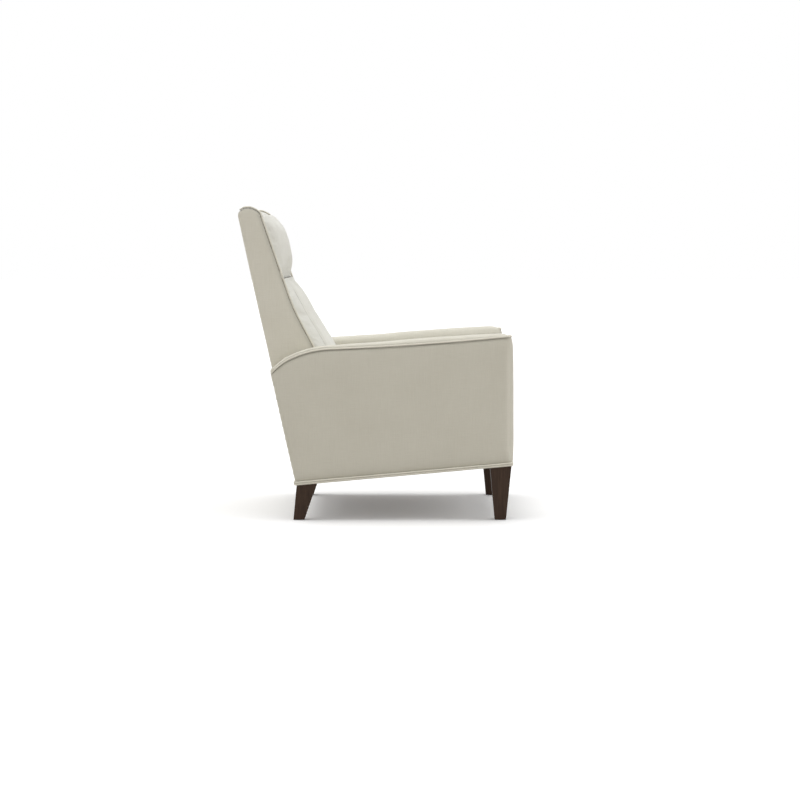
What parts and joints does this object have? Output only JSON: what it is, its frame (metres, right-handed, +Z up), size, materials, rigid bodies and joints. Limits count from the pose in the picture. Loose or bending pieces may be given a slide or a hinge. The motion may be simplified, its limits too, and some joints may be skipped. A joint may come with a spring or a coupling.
{
  "type": "recliner",
  "caption": "High-leg push-back recliner with welted track arms, raked back with head pillow and lumbar cushion, tapered wood legs and a fold-out footrest.",
  "frame": {"origin": "centre of the chair's footprint on the floor, at the bottom of the leg glides", "axes": "+X the way the sitter faces, +Y to the sitter's left, +Z up"},
  "size_m": [0.92, 0.75, 1.041],
  "materials": {
    "upholstery": "natural linen weave, cream",
    "welt_fabric": "bias-cut linen piping, cream",
    "leg_wood": "dark espresso satin",
    "frame_timber": "raw hardwood and plywood",
    "mechanism_steel": "black powder coat",
    "bright_steel": "zinc plated",
    "spring_steel": "oiled spring wire",
    "nylon": "moulded nylon"
  },
  "bodies": {
    "frame": {"left_arm_cover": "upholstery", "right_arm_cover": "upholstery", "left_arm_frame": "frame_timber", "right_arm_frame": "frame_timber", "left_arm_welt": "welt_fabric", "right_arm_welt": "welt_fabric", "base_welts": "welt_fabric", "middle_rail": "frame_timber", "rear_rail": "frame_timber", "rear_panel": "upholstery", "left_front_leg": "leg_wood", "right_front_leg": "leg_wood", "left_rear_leg": "leg_wood", "right_rear_leg": "leg_wood", "leg_glides": "nylon", "leg_bolts": "bright_steel", "left_base_plate": "mechanism_steel", "right_base_plate": "mechanism_steel", "base_plate_screws": "bright_steel", "base_pivots": "bright_steel"},
    "rear_swing": {"left_rear_swing_link": "mechanism_steel", "right_rear_swing_link": "mechanism_steel", "swing_cross_tube": "mechanism_steel"},
    "front_swing": {"left_front_swing_link": "mechanism_steel", "right_front_swing_link": "mechanism_steel"},
    "seat": {"left_seat_plate": "mechanism_steel", "right_seat_plate": "mechanism_steel", "left_seat_angle": "mechanism_steel", "right_seat_angle": "mechanism_steel", "seat_frame": "frame_timber", "seat_springs": "spring_steel", "spring_clips": "spring_steel", "seat_cushion": "upholstery", "seat_pivots": "bright_steel"},
    "back": {"back_frame": "frame_timber", "back_cover": "upholstery", "lumbar_cushion": "upholstery", "head_pillow": "upholstery", "left_back_welt": "welt_fabric", "right_back_welt": "welt_fabric", "left_back_bracket": "mechanism_steel", "right_back_bracket": "mechanism_steel", "back_guide_pins": "bright_steel"},
    "back_drive": {"left_back_drive_link": "mechanism_steel", "right_back_drive_link": "mechanism_steel"},
    "footrest_front_links": {"left_footrest_front_link": "mechanism_steel", "right_footrest_front_link": "mechanism_steel"},
    "footrest_rear_links": {"left_footrest_rear_link": "mechanism_steel", "right_footrest_rear_link": "mechanism_steel", "footrest_torque_tube": "mechanism_steel"},
    "footrest_carriers": {"left_footrest_carrier": "mechanism_steel", "right_footrest_carrier": "mechanism_steel", "carrier_pins": "bright_steel"},
    "footrest": {"left_footrest_bracket": "mechanism_steel", "right_footrest_bracket": "mechanism_steel", "footrest_board": "frame_timber", "footrest_pad": "upholstery"},
    "footrest_control": {"left_footrest_control_link": "mechanism_steel", "right_footrest_control_link": "mechanism_steel", "control_pins": "bright_steel"}
  },
  "joints": [
    {"name": "recline", "type": "hinge", "parent": "frame", "child": "rear_swing", "pos_m": [-0.1, 0, 0.215], "axis": [0, 1, 0], "range_deg": [0, 60]},
    {"name": "seat_level", "type": "hinge", "parent": "rear_swing", "child": "seat", "pos_m": [-0.145, 0, 0.29294], "axis": [0, 1, 0], "range_deg": [-60, 0]},
    {"name": "front_swing", "type": "hinge", "parent": "frame", "child": "front_swing", "pos_m": [0.25, 0, 0.215], "axis": [0, 1, 0], "range_deg": [0, 60]},
    {"name": "back_tilt", "type": "hinge", "parent": "seat", "child": "back", "pos_m": [-0.215, 0, 0.31], "axis": [0, -1, 0], "range_deg": [0, 28]},
    {"name": "back_drive", "type": "hinge", "parent": "frame", "child": "back_drive", "pos_m": [-0.1702, 0, 0.2671], "axis": [0, 1, 0], "range_deg": [0, 68.5]},
    {"name": "footrest_fold", "type": "hinge", "parent": "seat", "child": "footrest_front_links", "pos_m": [0.372, 0, 0.345], "axis": [0, -1, 0], "range_deg": [0, 156]},
    {"name": "footrest_rear_fold", "type": "hinge", "parent": "seat", "child": "footrest_rear_links", "pos_m": [0.31211, 0, 0.34856], "axis": [0, -1, 0], "range_deg": [0, 156]},
    {"name": "carrier_level", "type": "hinge", "parent": "footrest_front_links", "child": "footrest_carriers", "pos_m": [0.17521, 0, 0.23592], "axis": [0, -1, 0], "range_deg": [-156, 0]},
    {"name": "footrest_turn", "type": "hinge", "parent": "footrest_carriers", "child": "footrest", "pos_m": [0.39981, 0, 0.22257], "axis": [0, -1, 0], "range_deg": [0, 90]},
    {"name": "control_turn", "type": "hinge", "parent": "footrest_front_links", "child": "footrest_control", "pos_m": [0.17168, 0, 0.24947], "axis": [0, -1, 0], "range_deg": [-162.69, 0]}
  ],
  "couplings": [
    {"joint": "seat_level", "follows": "recline", "ratio": -1},
    {"joint": "front_swing", "follows": "recline", "ratio": 1},
    {"joint": "back_tilt", "follows": "recline", "ratio": 0.46667},
    {"joint": "back_drive", "follows": "recline", "ratio": 1.1417},
    {"joint": "footrest_rear_fold", "follows": "footrest_fold", "ratio": 1},
    {"joint": "carrier_level", "follows": "footrest_fold", "ratio": -1},
    {"joint": "footrest_turn", "follows": "footrest_fold", "ratio": 0.57692},
    {"joint": "control_turn", "follows": "footrest_fold", "ratio": -1.0429}
  ]
}
